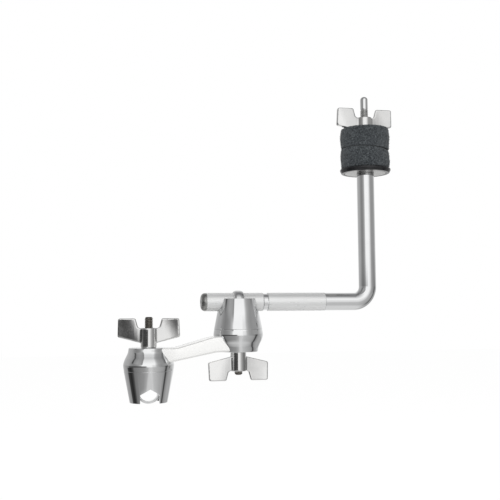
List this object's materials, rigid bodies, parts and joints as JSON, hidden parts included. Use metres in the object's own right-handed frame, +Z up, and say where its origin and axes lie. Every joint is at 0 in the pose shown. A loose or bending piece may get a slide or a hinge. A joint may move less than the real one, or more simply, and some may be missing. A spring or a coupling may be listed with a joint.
{
  "type": "cymbal boom stand",
  "caption": "Chromed cymbal arm: eyebolt clamp, S-shaped link, second clamp, and an L-rod carrying a felt cymbal seat with a wing nut.",
  "frame": {"origin": "where the axis of the gripped stand rod crosses the axis of the left clamp", "axes": "+Z up along the clamp and cymbal stud axes, +X along the arm towards the cymbal, +Y along the gripped rod, away from the viewer"},
  "size_m": [0.2028, 0.0372, 0.2223],
  "materials": {
    "cup_chrome": "polished chrome plate on a turned casting",
    "arm_chrome": "polished chrome plate on a casting",
    "nut_chrome": "chrome plate, softly rounded casting",
    "rod_chrome": "polished rod with straight knurled bands",
    "bolt_steel": "bright plated bolt, darker in the threads",
    "washer_steel": "plated flat washer",
    "seat_plastic": "glossy black moulding",
    "felt": "dense dark grey wool felt"
  },
  "bodies": {
    "left_jaw": {"left_cup": "cup_chrome"},
    "left_eye": {"left_eyebolt": "bolt_steel"},
    "left_nut": {"left_wing_nut": "nut_chrome"},
    "link": {"link_arm": "arm_chrome"},
    "right_jaw": {"right_cup": "cup_chrome"},
    "right_eye": {"right_eyebolt": "bolt_steel"},
    "right_nut": {"right_wing_nut": "nut_chrome"},
    "rod": {"l_rod": "rod_chrome", "cymbal_stud": "bolt_steel", "seat_washer": "washer_steel", "cymbal_seat": "seat_plastic", "lower_felt": "felt"},
    "felt_top": {"upper_felt": "felt"},
    "top_nut": {"top_wing_nut": "nut_chrome"}
  },
  "joints": [
    {"name": "left_nut_spin", "type": "hinge", "parent": "left_jaw", "child": "left_nut", "pos_m": [0, 0, 0.0329], "axis": [0, 0, 1], "range_deg": [-181, 1981]},
    {"name": "left_eye_slide", "type": "slide", "parent": "left_jaw", "child": "left_eye", "axis": [0, 0, -1], "range_m": [-0.0005, 0.0055]},
    {"name": "link_swing", "type": "hinge", "parent": "left_jaw", "child": "link", "pos_m": [0, 0, 0.0172], "axis": [0, 0, 1], "continuous": true},
    {"name": "right_clamp_swing", "type": "hinge", "parent": "link", "child": "right_jaw", "pos_m": [0.063, 0, 0.0449], "axis": [0, 0, 1], "continuous": true},
    {"name": "right_nut_spin", "type": "hinge", "parent": "right_jaw", "child": "right_nut", "pos_m": [0.063, 0, 0.0292], "axis": [0, 0, -1], "range_deg": [-1, 721]},
    {"name": "right_eye_slide", "type": "slide", "parent": "right_jaw", "child": "right_eye", "axis": [0, 0, 1], "range_m": [0, 0.002]},
    {"name": "rod_roll", "type": "hinge", "parent": "right_eye", "child": "rod", "pos_m": [0.063, 0, 0.0642], "axis": [1, 0, 0], "continuous": true},
    {"name": "felt_lift", "type": "slide", "parent": "rod", "child": "felt_top", "axis": [0, 0, 1], "range_m": [0, 0.012]},
    {"name": "top_nut_spin", "type": "hinge", "parent": "felt_top", "child": "top_nut", "pos_m": [0.1598, 0, 0.1871], "axis": [0, 0, 1], "range_deg": [-1, 4321]}
  ],
  "couplings": [
    {"joint": "left_nut_spin", "follows": "left_eye_slide", "rad_per_m": 6283.2},
    {"joint": "right_nut_spin", "follows": "right_eye_slide", "rad_per_m": 6283.2},
    {"joint": "top_nut_spin", "follows": "felt_lift", "rad_per_m": 6283.2}
  ]
}
